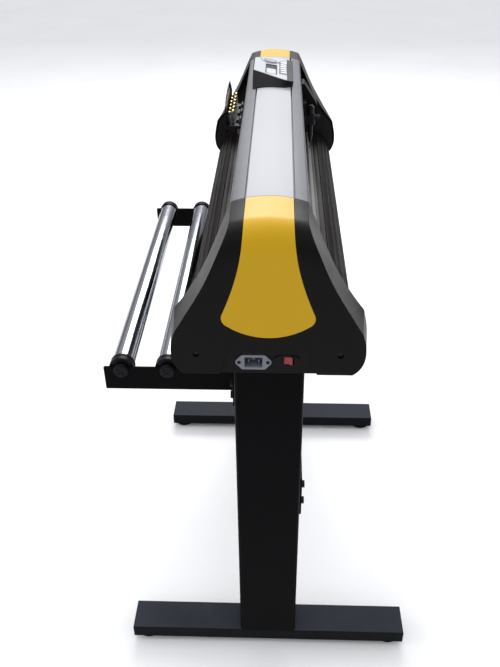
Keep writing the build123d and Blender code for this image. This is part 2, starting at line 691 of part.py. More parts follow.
# ---------------------------------------------------------------- pinch head
def pinch_head():
    """Sliding bracket behind and under the beam, with pivot lugs and a spring shelf."""
    x0, x1 = HEAD_X
    gap = 0.4
    low = BEAM_BOTTOM - gap
    section = [
        (-10, low - 7.6), (40, low - 7.6), (40, 893), (90, 893), (90, 899), (40, 899), (40, 948),
        (BEAM_CORE + gap, 948), (BEAM_CORE + gap, low), (-10, low),
    ]
    body = along_x(polygon(section), x0, x1)
    gaps = [x0 + 5] + [(a + b) / 2 - 2 for a, b in zip(PINCH_X, PINCH_X[1:])] + [x1 - 9]
    for x in gaps:
        lug = along_x(strap(PIVOT, 6, (PIVOT[0], low - 6), 6), x, x + 4)
        body += lug
    body += rod_x(2.5, gaps[0], gaps[-1] + 4, *PIVOT)
    for x in PINCH_X:
        body -= box(x - 9.8, x + 9.8, 60.5, 74.6, 890, 902)
    for x in (x0 + 3, x1 - 7):
        ear = box(x, x + 4, HINGE[0] - 6, HINGE[0] + 5, HINGE[1] - 5, 893)
        body += ear - rod_x(2.05, x - 1, x + 5, *HINGE)
    return body


def pinch_arm(x):
    """Steel lever: a fork for the wheel at the front, a finger through the shelf at the back."""
    wheel = (GRIT_Y, WHEEL_Z)
    knee, tip = (68, 880), (66, 906)
    arm = None
    for s in (-1, 1):
        x0 = x + (6.5 if s > 0 else -9)
        plate = along_x(strap(wheel, 4.6, PIVOT, 6), x0, x0 + 2.5)
        plate += along_x(strap(PIVOT, 6, knee, 4.4), x0, x0 + 2.5)
        plate += along_x(strap(knee, 4.4, tip, 3.2), x0, x0 + 2.5)
        arm = plate if arm is None else arm + plate
    arm += rod_x(3.2, x - 7, x + 7, 8, 848.8) + rod_x(3.2, x - 7, x + 7, *knee)
    arm += rod_x(2.2, x - 7, x + 7, *tip)
    arm -= rod_x(2.55, x - 10, x + 10, *PIVOT)
    return arm - rod_x(2.05, x - 10, x + 10, *wheel)


def pinch_wheel(x):
    """Rubber pinch wheel on its axle."""
    wheel = rod_x(WHEEL_R, x - 6, x + 6, GRIT_Y, WHEEL_Z)
    wheel = fillet(wheel.edges().filter_by(GeomType.CIRCLE), 0.8)
    return wheel + rod_x(2.0, x - 9.5, x + 9.5, GRIT_Y, WHEEL_Z)


def pinch_springs():
    """Plated pressure springs on the shelf, two rows with a pair over each arm."""
    springs = []
    for x in PINCH_X:
        for dx in (-11.35, 11.35):
            for y, top in ((79.6, 926.5), (87.2, 923.5)):
                coil = rod_z(2.4, 899, top - 4, x + dx, y)
                for k in range(5):
                    coil += Pos(x + dx, y, 900.6 + 4.0 * k) * Torus(2.3, 0.9)
                cap = rod_z(3.5, top - 4.5, top, x + dx, y)
                springs.append(coil + fillet(cap.edges().group_by(Axis.Z)[-1], 2.4))
    return Compound(springs)


def lift_handle():
    """Long lift bar hinged under the shelf; a pointed cheek stands up at its far end."""
    x0, x1 = HEAD_X[0], HEAD_X[1] + 5
    y0, y1 = 91.4, 95.4
    web0, web1 = HEAD_X[0] + 8, HEAD_X[1] - 9
    blade = box(x0, x1, y0, y1, 884, 934)
    blade = fillet(blade.edges().filter_by(Axis.Y).group_by(Axis.X)[0], 7)
    cheek = polygon([(91.4, 884), (99, 884), (104.5, 899), (102.2, 914), (98.2, 932), (93.6, 946.5),
                     (91.2, 938), (89.2, 927), (90, 905)])
    handle = blade + along_x(cheek, x1 - 4, x1)
    handle += box(web0, web1, HINGE[0], y0 + 1, HINGE[1] - 3.5, HINGE[1] + 2)
    handle += rod_x(3.8, web0, web1, *HINGE)
    return handle + rod_x(2.0, web0 - 4, web1 + 4, *HINGE)


# ---------------------------------------------------------------- control panel
def panel_plane(height=0.0):
    """Working plane on the sloping face, raised by height; its x is X and its y climbs to the rear."""
    n = (0, -sin(PANEL_SLOPE), cos(PANEL_SLOPE))
    return Plane(origin=(0, n[1] * height, PANEL_Z + n[2] * height), x_dir=(1, 0, 0), z_dir=n)


def panel_outline(z, inset=0.0):
    """Housing section at height z: the near side leans away at the rear and overhangs in front."""
    i, rise = inset, z - 981
    rear, middle = 144 + 1.25 * rise + i, 132 + 1.3 * rise + i
    near = [(rear, 40 - i), (middle, 2), (156.2 - 1.65 * rise + i, -36 + i)]
    far = [(290 - i, -36 + i), (293 - i, 2), (264 - i, 40 - i)]
    return [Spline(*near), Line(near[2], far[0]), Spline(*far), Line(far[2], near[0])]


def panel_block(inset, below, above):
    """Slab under or over the sloping face, inside the outline."""
    sections = [Plane.XY.offset(z) * make_face(panel_outline(z, inset)) for z in (965, 1010)]
    slab = panel_plane(below) * (Pos(230, 0, (above - below) / 2) * Box(300, 200, above - below))
    return loft(sections, ruled=True) & slab


def panel_housing():
    """Wedge-shaped shell that saddles the crown, with a plain band along its front edge."""
    a, b, c = crown_arc(BEAM_SIDE + 5)
    under = [ThreePointArc(a, b, c), Line(c, (c[0], 900)), Line((c[0], 900), (a[0], 900)),
             Line((a[0], 900), a)]
    shell = panel_block(0, -60, 0) - panel_block(2.4, -60, -2.6)
    shell -= panel_block(1.2, -1.6, 5) & panel_rear(0.0)
    shell -= along_x(under, 100, 320)
    x0, x1, v0, v1 = WINDOW
    shell -= panel_plane(-4) * (Pos((x0 + x1) / 2, (v0 + v1) / 2, 3) * Box(x1 - x0 - 2, v1 - v0 - 2, 8))
    for x, v in key_places():
        shell -= panel_plane(-4) * (Pos(x, v, 3) * Box(8.8, 12.8, 8))
    return shell - panel_plane(-4) * (Pos(*PAD_BUTTON, 3) * Cylinder(13.4, 8))


def panel_rear(gap):
    """Part of the sloping face behind the band."""
    low = BAND_V + gap
    return panel_plane(-10) * (Pos(230, (low + 80) / 2, 10) * Box(300, 80 - low, 20))


def key_places():
    """Key centres: a row along the front edge that bows like a fan."""
    middle = (KEY_COUNT - 1) / 2
    return [(KEY_X0 + KEY_PITCH * k, KEY_V - 0.4 * abs(k - middle)) for k in range(KEY_COUNT)]


def panel_face():
    """Silver-grey face plate with its window, key and pad openings."""
    face = panel_block(1.5, -1.6, 0.3) & panel_rear(0.3)
    x0, x1, v0, v1 = WINDOW
    face -= panel_plane(-4) * (Pos((x0 + x1) / 2, (v0 + v1) / 2, 4) * Box(x1 - x0, v1 - v0, 12))
    for x, v in key_places():
        face -= panel_plane(-4) * (Pos(x, v, 4) * Box(8.8, 12.8, 12))
    return face - panel_plane(-4) * (Pos(*PAD_BUTTON, 4) * Cylinder(13.4, 12))


def display_window():
    x0, x1, v0, v1 = WINDOW
    return panel_plane(-1.6) * (
        Pos((x0 + x1) / 2, (v0 + v1) / 2, 0.5) * Box(x1 - x0 - 0.4, v1 - v0 - 0.4, 1.0)
    )


def panel_key(k):
    x, v = key_places()[k]
    key = Pos(x, v, 0) * Box(8.0, 12.0, 4.4)
    key = fillet(key.edges().filter_by(Axis.Z), 1.5)
    return panel_plane(-0.2) * key


def arrow_pad():
    """Round four-way button with a dished top."""
    pad = Pos(*PAD_BUTTON, 0) * Cylinder(13.0, 4.4)
    pad = chamfer(pad.edges().group_by(Axis.Z)[-1], 0.8)
    pad -= Pos(*PAD_BUTTON, 62) * Sphere(60.6)
    return panel_plane(-0.2) * pad


# ---------------------------------------------------------------- fasteners
def hex_bolt_y(x, z, y):
    """Bolt through a sheet at the front of a leg, its head towards the operator."""
    head = extrude(Plane.XZ.offset(-y) * (Pos(x, z) * RegularPolygon(6.8, 6)), 5)
    return head + rod_y(4.0, y, y + 14, x, z)


def fasteners():
    """Stretcher bolts, arm bolts, pad lock nuts and cap screws."""
    parts = []
    y = -LEG_D / 2 - STRETCHER_T
    for x in (-LEG_X, LEG_X):
        parts += [hex_bolt_y(x, z, y) for z in BOLT_Z]
    back = LEG_D / 2 + ARM_T
    for z in ARM_BOLT_Z:
        bolt = rod_y(6.5, back, back + 4.5, LEG_X, z) + rod_y(4.0, back - 12, back, LEG_X, z)
        parts += [bolt, both_ends(bolt)]
    for x in (-LEG_X, LEG_X):
        for py in (-PAD_Y, PAD_Y):
            nut = extrude(Plane.XY.offset(10.5) * (Pos(x, py) * RegularPolygon(7.5, 6)), 5)
            parts.append(nut - rod_z(4.1, 8, 20, x, py))
    for cy in (-SCREW_Y, SCREW_Y):
        screw = rod_x(3.9, FACE_X + 4.6, FACE_X + 7, cy, SCREW_Z)
        screw += rod_x(1.9, FACE_X + 7, FACE_X + 20, cy, SCREW_Z)
        parts += [screw, both_ends(screw)]
    return Compound(parts)


# ---------------------------------------------------------------- assembly
def build():
    cap, inlay = cap_and_inlay()
    nodes = {
        "end_cap_left": cap_left(cap),
        "end_cap_right": cap_right(cap),
        "switch_plate": switch_plate(),
        "cap_inlays": Compound([inlay, both_ends(inlay)]),
        "inlet_socket": inlet_socket(),
        "rocker": rocker(),
        "foot_left": foot(-LEG_X),
        "foot_right": foot(LEG_X),
        "levelling_pads": levelling_pads(),
        "leg_left": leg(-LEG_X),
        "leg_right": leg(LEG_X),
        "crossbar": crossbar(),
        "roll_arm_left": roll_arm(-1),
        "roll_arm_right": roll_arm(1),
        "media_roller_front": media_roller(ROLLER_Y[0]),
        "media_roller_rear": media_roller(ROLLER_Y[1]),
        "roller_ends_front": roller_ends(ROLLER_Y[0]),
        "roller_ends_rear": roller_ends(ROLLER_Y[1]),
        "top_cover": top_cover(),
        "beam": beam(),
        "guide_rail": guide_rail(),
        "platen": platen(),
        "cutting_strip": cutting_strip(),
        "aprons": Compound([apron(-1), apron(1)]),
        "bottom_pan": bottom_pan(),
        "end_plate_left": end_plate(-1),
        "end_plate_right": end_plate(1),
        "grit_shaft": grit_shaft(),
        "drive_motors": drive_motors(),
        "feed_motor_pulley": feed_motor_pulley(),
        "feed_belt": feed_belt(),
        "carriage_drive_pulley": carriage_pulley(-BELT_X, True),
        "carriage_idler_pulley": carriage_pulley(BELT_X, False),
        "carriage_belt": carriage_belt(),
        "control_board": control_board(),
        "carriage_plate": carriage_plate(),
        "carriage_cover": carriage_cover(),
        "tool_slide": tool_slide(),
        "blade_holder": blade_holder(),
        "clamp_knob": clamp_knob(),
        "pinch_head": pinch_head(),
        "pinch_springs": pinch_springs(),
        "lift_handle": lift_handle(),
        "panel_housing": panel_housing(),
        "panel_face": panel_face(),
        "display_window": display_window(),
        "arrow_pad": arrow_pad(),
        "fasteners": fasteners(),
    }
    for k, x in enumerate(PINCH_X):
        nodes[f"pinch_arm_{k + 1}"] = pinch_arm(x)
        nodes[f"pinch_wheel_{k + 1}"] = pinch_wheel(x)
    for k in range(KEY_COUNT):
        nodes[f"panel_key_{k + 1}"] = panel_key(k)
    return nodes


for name, shape in build().items():
    export_step(shape, f"parts/{name}.step")
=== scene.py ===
"""Looks for the roll-media cutter on its stand. Metres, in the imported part's frame."""
import json
import math

import bmesh
import bpy
from mathutils import Matrix, Vector


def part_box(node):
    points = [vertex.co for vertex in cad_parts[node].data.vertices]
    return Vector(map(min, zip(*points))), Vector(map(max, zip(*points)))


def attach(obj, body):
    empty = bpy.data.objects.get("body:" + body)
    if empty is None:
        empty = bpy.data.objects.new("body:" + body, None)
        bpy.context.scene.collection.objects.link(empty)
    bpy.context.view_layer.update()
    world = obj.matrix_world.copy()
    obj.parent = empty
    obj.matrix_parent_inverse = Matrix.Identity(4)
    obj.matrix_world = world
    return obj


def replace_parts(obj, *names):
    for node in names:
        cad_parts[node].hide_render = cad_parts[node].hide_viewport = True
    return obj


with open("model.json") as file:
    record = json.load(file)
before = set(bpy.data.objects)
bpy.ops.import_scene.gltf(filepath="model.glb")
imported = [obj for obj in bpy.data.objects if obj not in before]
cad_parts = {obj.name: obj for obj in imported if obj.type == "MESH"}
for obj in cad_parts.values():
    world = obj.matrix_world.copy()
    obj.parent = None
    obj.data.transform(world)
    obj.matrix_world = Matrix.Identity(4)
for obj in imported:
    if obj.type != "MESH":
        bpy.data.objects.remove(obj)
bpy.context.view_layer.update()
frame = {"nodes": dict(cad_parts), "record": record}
NODES = frame["nodes"]
RECORD = frame["record"]
MM = 0.001


# ---------------------------------------------------------------- camera
PITCH, YAW, ROLL = math.radians(34.06), math.radians(2.03), math.radians(-0.43)
EYE = Vector((-1.2661, -0.0121, 1.3710))
LENS_MM, SENSOR_MM = 40.0, 36.0


def make_camera():
    forward = Vector((
        math.cos(PITCH) * math.cos(YAW), math.cos(PITCH) * math.sin(YAW), -math.sin(PITCH)
    ))
    right = Vector((math.sin(YAW), -math.cos(YAW), 0))
    up = right.cross(forward)
    rolled_right = math.cos(ROLL) * right + math.sin(ROLL) * up
    rolled_up = -math.sin(ROLL) * right + math.cos(ROLL) * up
    data = bpy.data.cameras.new("camera")
    data.sensor_fit = "VERTICAL"
    data.sensor_height = SENSOR_MM
    data.lens = LENS_MM
    data.shift_x, data.shift_y = -0.0084, 0.0024
    data.clip_end = 50
    cam = bpy.data.objects.new("camera", data)
    axes = Matrix((rolled_right, rolled_up, -forward)).transposed().to_4x4()
    cam.matrix_world = Matrix.Translation(EYE) @ axes
    bpy.context.scene.collection.objects.link(cam)
    bpy.context.scene.camera = cam
    bpy.context.scene.view_settings.view_transform = "Standard"


# ---------------------------------------------------------------- materials
class Nodes:
    """Short-hand for building one node tree."""

    def __init__(self, name):
        self.mat = bpy.data.materials.new(name)
        self.mat.use_nodes = True
        self.tree = self.mat.node_tree
        self.bsdf = self.tree.nodes["Principled BSDF"]
        self.coord = self.add("ShaderNodeTexCoord").outputs["Object"]

    def add(self, kind, **props):
        node = self.tree.nodes.new(kind)
        for key, value in props.items():
            setattr(node, key, value)
        return node

    def link(self, a, b):
        self.tree.links.new(a, b)

    def scaled(self, stretch):
        node = self.add("ShaderNodeMapping")
        self.link(self.coord, node.inputs["Vector"])
        node.inputs["Scale"].default_value = stretch
        return node.outputs["Vector"]

    def noise(self, scale, detail=3, stretch=(1, 1, 1), rough=0.55):
        node = self.add("ShaderNodeTexNoise")
        self.link(self.scaled(stretch), node.inputs["Vector"])
        node.inputs["Scale"].default_value = scale
        node.inputs["Detail"].default_value = detail
        node.inputs["Roughness"].default_value = rough
        return node.outputs["Fac"]

    def remap(self, value, low, high, start=0.3, end=0.7):
        node = self.add("ShaderNodeMapRange")
        self.link(value, node.inputs["Value"])
        for key, number in (("From Min", start), ("From Max", end), ("To Min", low), ("To Max", high)):
            node.inputs[key].default_value = number
        return node.outputs["Result"]

    def math(self, operation, a, b):
        node = self.add("ShaderNodeMath", operation=operation)
        for socket, value in zip(node.inputs, (a, b)):
            if isinstance(value, (int, float)):
                socket.default_value = value
            else:
                self.link(value, socket)
        return node.outputs[0]

    def mix(self, factor, a, b):
        node = self.add("ShaderNodeMix", data_type="RGBA")
        self.link(factor, node.inputs["Factor"])
        for key, value in (("A", a), ("B", b)):
            socket = [s for s in node.inputs if s.name == key and s.type == "RGBA"][0]
            if isinstance(value, tuple):
                socket.default_value = (*value[:3], 1)
            else:
                self.link(value, socket)
        return [s for s in node.outputs if s.type == "RGBA"][0]

    def bump(self, height, strength, distance, before=None):
        node = self.add("ShaderNodeBump")
        self.link(height, node.inputs["Height"])
        node.inputs["Strength"].default_value = strength
        node.inputs["Distance"].default_value = distance
        if before is not None:
            self.link(before, node.inputs["Normal"])
        return node.outputs["Normal"]

    def rounded(self, radius):
        node = self.add("ShaderNodeBevel", samples=4)
        node.inputs["Radius"].default_value = radius
        return node.outputs["Normal"]

    def facing_up(self):
        node = self.add("ShaderNodeSeparateXYZ")
        self.link(self.add("ShaderNodeTexCoord").outputs["Normal"], node.inputs[0])
        return node.outputs[2]


def shade(color, k):
    return tuple(min(1.0, c * k) for c in color[:3])


def finish(name, color, rough, metal=0.0, spread=0.16, blotch=14, grain=1500, stretch=(1, 1, 1),
           bump=0.25, depth=0.00015, edge=0.0008, dust=0.0, scuff=0.0, coat=0.0, spec=0.5,
           painted_top_sheen=0.0):
    """One moulded, painted or machined surface: uneven colour and gloss, fine grain, soft edges."""
    n = Nodes(name)
    blotches = n.noise(blotch, 4)
    fine = n.noise(grain, 3, stretch)
    tone = n.mix(n.remap(blotches, 0, 1), shade(color, 1 - spread), shade(color, 1 + spread))
    speck = n.remap(fine, 0, 1, 0.35, 0.65)
    tone = n.mix(speck, tone, shade(color, 1 + 0.5 * spread))
    if dust:
        film = n.math("MULTIPLY", n.remap(n.noise(55, 6, rough=0.7), 0, 1, 0.5, 0.8), dust)
        tone = n.mix(film, tone, DUST)
    # Painted sheen: faces that look up blend in blotches towards a paler bluish colour, standing in for
    # light on their tops.
    if painted_top_sheen:
        top_sheen_mask = n.remap(n.facing_up(), 0, painted_top_sheen, 0.6, 0.95)
        tone = n.mix(n.math("MULTIPLY", top_sheen_mask, n.remap(blotches, 0.7, 1.0)), tone, PAINTED_TOP_SHEEN)
    gloss = n.remap(blotches, rough * 0.88, min(1.0, rough * 1.14))
    if scuff:
        marks = n.remap(n.noise(190, 2, (0.25, 1, 1), 0.4), 0, scuff, 0.6, 0.74)
        tone = n.mix(marks, tone, shade(color, 1.7))
        gloss = n.math("ADD", gloss, marks)
    n.link(tone, n.bsdf.inputs["Base Color"])
    n.link(n.math("ADD", gloss, n.remap(fine, -0.03, 0.03)), n.bsdf.inputs["Roughness"])
    n.bsdf.inputs["Metallic"].default_value = metal
    n.bsdf.inputs["Coat Weight"].default_value = coat
    n.bsdf.inputs["Coat Roughness"].default_value = 0.12
    n.bsdf.inputs["Specular IOR Level"].default_value = spec
    normal = n.bump(fine, bump, depth, n.rounded(edge))
    n.link(n.bump(blotches, 0.08, 0.0012, normal), n.bsdf.inputs["Normal"])
    return n.mat


ALONG = (0.02, 1, 1)
BLACK = (0.007, 0.0066, 0.0068)
DULL = 0.12                # specular level of the near-black finishes
DUST = (0.36, 0.35, 0.33)
PAINTED_TOP_SHEEN = (0.30, 0.33, 0.42)   # painted sheen: paler bluish colour on faces that look up, standing in for the light their tops catch
DISPLAY_DARK = (0.010, 0.012, 0.018, 1)
PALE_SHARE = 0.58                # share of the display that is pale, from its low-x end; the rest is painted dark

LOOKS = {
    "frame_paint": dict(color=(0.0030, 0.0026, 0.0032), rough=0.42, grain=900, bump=0.3,
        depth=0.0002, dust=0.002, edge=0.0012, spec=0.03),
    "foot_paint": dict(color=(0.0035, 0.0042, 0.0060), rough=0.5, grain=900, bump=0.35,
        depth=0.0002, dust=0.004, scuff=0.01, edge=0.0012, spec=0.06, painted_top_sheen=0.09),
    "pad_rubber": dict(color=(0.004, 0.004, 0.0045), rough=0.7, grain=700, bump=0.4, dust=0.01,
        spec=0.06),
    "cap_plastic": dict(color=(0.0034, 0.0028, 0.0027), rough=0.42, grain=1300, bump=0.3,
        depth=0.0002, dust=0.002, edge=0.0016, spec=0.11),
    "inlay_yellow": dict(color=(0.56, 0.330, 0.006), rough=0.36, spread=0.04, grain=1700,
        bump=0.08, spec=0.2, blotch=5),
    "cover_silver": dict(color=(0.32, 0.32, 0.345), rough=0.4, metal=0.0, spread=0.03, grain=1600,
        bump=0.1, spec=0.25, blotch=4),
    "beam_anodised": dict(color=(0.088, 0.090, 0.102), rough=0.36, metal=0.3, spread=0.05,
        grain=1100, stretch=ALONG, bump=0.15, spec=0.2),
    "rail_steel": dict(color=(0.40, 0.40, 0.42), rough=0.28, metal=1.0, spread=0.05, grain=1400,
        stretch=ALONG),
    "platen_paint": dict(color=(0.016, 0.015, 0.015), rough=0.46, grain=1200, dust=0.01,
        scuff=0.03, spec=0.2),
    "strip_plastic": dict(color=(0.16, 0.155, 0.15), rough=0.6, spread=0.1, scuff=0.1),
    "apron_anodised": dict(color=(0.009, 0.0065, 0.0062), rough=0.42, metal=0.1, spread=0.08,
        grain=1100, stretch=ALONG, dust=0.002, spec=0.05),
    "sheet_steel": dict(color=(0.008, 0.008, 0.009), rough=0.44, grain=900, bump=0.3, dust=0.01,
        spec=DULL),
    "roller_plate": dict(color=(0.30, 0.31, 0.34), rough=0.13, metal=1.0, spread=0.04, grain=1300,
        stretch=ALONG, bump=0.05, scuff=0.05),
    "collar_plastic": dict(color=(0.0045, 0.0045, 0.0062), rough=0.36, grain=1100, bump=0.25,
        dust=0.003, spec=0.12),
    "grit_steel": dict(color=(0.26, 0.26, 0.27), rough=0.5, metal=0.9, grain=1900, bump=0.9,
        depth=0.0005),
    "motor_black": dict(color=BLACK, rough=0.45, grain=900, dust=0.01, spec=0.2),
    "pulley_alu": dict(color=(0.50, 0.50, 0.52), rough=0.32, metal=1.0, spread=0.06, grain=1500),
    "belt_rubber": dict(color=(0.009, 0.009, 0.009), rough=0.72, grain=1200, bump=0.4, spec=0.2),
    "board_green": dict(color=(0.010, 0.08, 0.03), rough=0.35, grain=600, bump=0.15),
    "carriage_alu": dict(color=(0.006, 0.006, 0.007), rough=0.4, metal=0.1, grain=1500, spec=0.06),
    "carriage_plastic": dict(color=(0.0055, 0.0052, 0.0058), rough=0.45, grain=1200, bump=0.3,
        edge=0.0014, dust=0.004, spec=0.08),
    "tool_alu": dict(color=(0.012, 0.012, 0.014), rough=0.38, metal=0.4, spread=0.06, grain=1500,
        spec=DULL),
    "holder_brass": dict(color=(0.012, 0.012, 0.013), rough=0.36, metal=0.4, spread=0.08,
        grain=1500, stretch=(1, 1, 0.05), spec=DULL),
    "knob_plastic": dict(color=BLACK, rough=0.5, grain=1100, bump=0.3, spec=0.2),
    "head_alu": dict(color=(0.008, 0.008, 0.009), rough=0.42, metal=0.2, grain=1200, spec=0.2),
    "lever_steel": dict(color=(0.16, 0.16, 0.165), rough=0.4, metal=0.9, spread=0.12, grain=1200,
        scuff=0.05),
    "wheel_rubber": dict(color=(0.014, 0.014, 0.014), rough=0.66, grain=1100, bump=0.3, dust=0.02,
        spec=0.2),
    "spring_brass": dict(color=(0.78, 0.62, 0.32), rough=0.2, metal=1.0, spread=0.12, grain=1600),
    "handle_paint": dict(color=(0.0055, 0.0055, 0.006), rough=0.4, grain=1000, bump=0.25,
        edge=0.001, spec=DULL),
    "panel_plastic": dict(color=(0.005, 0.005, 0.007), rough=0.42, grain=1300, bump=0.3,
        edge=0.0016, dust=0.003, spec=0.12),
    "panel_silver": dict(color=(0.36, 0.37, 0.39), rough=0.36, metal=0.1, spread=0.04, grain=1600,
        bump=0.1, spec=0.25),
    "window_clear": dict(color=(0.66, 0.68, 0.70), rough=0.12, spread=0.04, grain=900, bump=0.02,
        coat=0.3),
    "key_plastic": dict(color=(0.60, 0.62, 0.66), rough=0.42, spread=0.05, grain=1200, spec=0.3),
    "pad_plastic": dict(color=(0.20, 0.225, 0.27), rough=0.4, grain=1200, spec=0.3),
    "inlet_plastic": dict(color=(0.165, 0.18, 0.21), rough=0.42, spread=0.08, grain=1300,
        bump=0.2, spec=0.3),
    "rocker_red": dict(color=(0.24, 0.006, 0.006), rough=0.28, spread=0.08, grain=900, bump=0.05,
        coat=0.15),
    "bolt_zinc": dict(color=(0.022, 0.022, 0.025), rough=0.4, metal=0.7, spread=0.12, grain=1100,
        spec=DULL),
}


def darken_window(mat):
    """The display is pale at its near part and dark beyond."""
    tree = mat.node_tree
    bsdf = tree.nodes["Principled BSDF"]
    low, high = (Vector(v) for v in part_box("display_window"))
    edge = low.x + PALE_SHARE * (high.x - low.x)
    coord = tree.nodes.new("ShaderNodeTexCoord")
    split = tree.nodes.new("ShaderNodeSeparateXYZ")
    step = tree.nodes.new("ShaderNodeMapRange")
    tree.links.new(coord.outputs["Object"], split.inputs[0])
    tree.links.new(split.outputs[0], step.inputs["Value"])
    step.inputs["From Min"].default_value = edge
    step.inputs["From Max"].default_value = edge + 0.0015
    mix = tree.nodes.new("ShaderNodeMix")
    mix.data_type = "RGBA"
    old = bsdf.inputs["Base Color"].links[0].from_socket
    colors = [s for s in mix.inputs if s.type == "RGBA"]
    tree.links.new(step.outputs["Result"], mix.inputs["Factor"])
    tree.links.new(old, colors[0])
    colors[1].default_value = DISPLAY_DARK
    tree.links.new([s for s in mix.outputs if s.type == "RGBA"][0], bsdf.inputs["Base Color"])


def paint_cad():
    made = {}
    for row in RECORD["subparts"]:
        node, name = row["node"], row["material_slot"]
        if name not in made:
            made[name] = finish(name, **LOOKS[name])
        mesh = NODES[node].data
        mesh.materials.clear()
        mesh.materials.append(made[name])
    return made


# ---------------------------------------------------------------- detail pieces
def piece(name, bm, slot_name, body, smooth=True):
    """Add a finished mesh to the scene; it rides a CAD body and wears one of the record's slots."""
    bmesh.ops.recalc_face_normals(bm, faces=bm.faces)
    mesh = bpy.data.meshes.new(name)
    bm.to_mesh(mesh)
    bm.free()
    mesh.polygons.foreach_set("use_smooth", [smooth] * len(mesh.polygons))
    obj = bpy.data.objects.new(name, mesh)
    bpy.context.scene.collection.objects.link(obj)
    mesh.materials.append(MADE[slot_name])
    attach(obj, body)
    return obj


def sweep(bm, path, radius, sides=8):
    """Closed tube along a path of points."""
    rings = []
    side = None
    for k, point in enumerate(path):
        ahead = (path[min(k + 1, len(path) - 1)] - path[max(k - 1, 0)]).normalized()
        side = ahead.orthogonal() if side is None else side - ahead * side.dot(ahead)
        side = side.normalized()
        other = ahead.cross(side)
        angles = [math.tau * a / sides for a in range(sides)]
        rings.append([
            bm.verts.new(point + radius * (math.cos(a) * side + math.sin(a) * other)) for a in angles
        ])
    for low, high in zip(rings, rings[1:]):
        for a in range(sides):
            b = (a + 1) % sides
            bm.faces.new((low[a], low[b], high[b], high[a]))
    bm.faces.new(rings[0])
    bm.faces.new(rings[-1])


def turned(bm, centre, profile, sides=20):
    """Solid of revolution about a vertical axis from (radius, height) pairs."""
    rings = []
    for radius, height in profile:
        angles = [math.tau * a / sides for a in range(sides)]
        rings.append([
            bm.verts.new(centre + Vector((radius * math.cos(a), radius * math.sin(a), height)))
            for a in angles
        ])
    for low, high in zip(rings, rings[1:]):
        for a in range(sides):
            b = (a + 1) % sides
            bm.faces.new((low[a], low[b], high[b], high[a]))
    bm.faces.new(rings[0])
    bm.faces.new(rings[-1])


def loop(bm, points):
    verts = [bm.verts.new(p) for p in points]
    return verts, [bm.edges.new((a, b)) for a, b in zip(verts, verts[1:] + verts[:1])]


def wall(bm, low, high):
    for k in range(len(low)):
        m = (k + 1) % len(low)
        bm.faces.new((low[k], low[m], high[m], high[k]))


def cross_head(bm, centre, out, radius, height, arm, width, depth, sides=24):
    """Round head with a cross recess; out is the direction it faces."""
    out = out.normalized()
    side = out.orthogonal().normalized()
    other = out.cross(side)

    def at(a, b, h):
        return centre + side * a + other * b + out * h

    def circle(r, h):
        return [at(r * math.cos(math.tau * k / sides), r * math.sin(math.tau * k / sides), h)
                for k in range(sides)]

    w = width / 2
    quarter = [(arm, -w), (arm, w), (w, w)]
    plus = []
    for turn in range(4):
        c, s = math.cos(turn * math.pi / 2), math.sin(turn * math.pi / 2)
        plus += [(a * c - b * s, a * s + b * c) for a, b in quarter]
    base, _ = loop(bm, circle(radius, 0))
    shoulder, _ = loop(bm, circle(radius, 0.7 * height))
    rim, rim_edges = loop(bm, circle(0.9 * radius, height))
    lip, lip_edges = loop(bm, [at(a, b, height) for a, b in plus])
    floor, _ = loop(bm, [at(a, b, height - depth) for a, b in plus])
    wall(bm, base, shoulder)
    wall(bm, shoulder, rim)
    wall(bm, lip, floor)
    bmesh.ops.triangle_fill(bm, use_beauty=True, edges=rim_edges + lip_edges)
    bm.faces.new(floor)
    bm.faces.new(base)


SPRING_CAP_R = 3.5 * MM
COIL_R, WIRE_R, CORE_R = 2.5 * MM, 0.62 * MM, 1.2 * MM
COIL_START, CAP_DEPTH = 0.8 * MM, 4.6 * MM
REAR_ROW_DROP = 3.0 * MM
SPRING_COLUMNS, SPRING_ROWS, COIL_TURNS = 6, 2, 5.5


def spring_cap(bm, foot, top):
    """Domed cap whose crown is at height top above the foot."""
    rims = [
        (3.3, CAP_DEPTH / MM), (SPRING_CAP_R / MM, 4.0), (SPRING_CAP_R / MM, 2.6),
        (3.0, 1.1), (2.0, 0.35), (0.8, 0),
    ]
    turned(bm, foot, [(radius * MM, top - below * MM) for radius, below in rims])


def coil_springs():
    """Wound springs with domed caps in place of the CAD node's stacked rings; the rear row is lower."""
    low, high = (Vector(v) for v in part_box("pinch_springs"))
    coils, caps = bmesh.new(), bmesh.new()
    steps = 18
    count = int(COIL_TURNS * steps)
    span = high - low
    for column in range(SPRING_COLUMNS):
        for row in range(SPRING_ROWS):
            x = low.x + SPRING_CAP_R + (span.x - 2 * SPRING_CAP_R) * column / (SPRING_COLUMNS - 1)
            y = low.y + SPRING_CAP_R + (span.y - 2 * SPRING_CAP_R) * row
            foot = Vector((x, y, low.z))
            top = span.z - REAR_ROW_DROP * row
            rise = top - CAP_DEPTH
            path = []
            for k in range(count + 1):
                a = math.tau * k / steps
                h = COIL_START + rise * k / count
                path.append(foot + Vector((COIL_R * math.cos(a), COIL_R * math.sin(a), h)))
            sweep(coils, path, WIRE_R)
            turned(coils, foot, [(CORE_R, 0), (CORE_R, rise)], 10)
            spring_cap(caps, foot, top)
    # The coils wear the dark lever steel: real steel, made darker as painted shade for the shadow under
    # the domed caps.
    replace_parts(piece("coil_springs", coils, "lever_steel", "pinch_unit"), "pinch_springs")
    piece("spring_caps", caps, "spring_brass", "pinch_unit")


def roller_discs():
    """Moulded cross on the outside of each roller disc."""
    for end in ("front", "rear"):
        low, high = (Vector(v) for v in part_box(f"roller_ends_{end}"))
        bm = bmesh.new()
        for side, x in ((-1, low.x), (1, high.x)):
            centre = Vector((x, (low.y + high.y) / 2, (low.z + high.z) / 2))
            cross_head(bm, centre, Vector((side, 0, 0)), 10.6 * MM, 0.8 * MM, 8.0 * MM, 2.6 * MM, 0.7 * MM)
        piece(f"roller_cross_{end}", bm, "collar_plastic", f"roller_{end}", False)


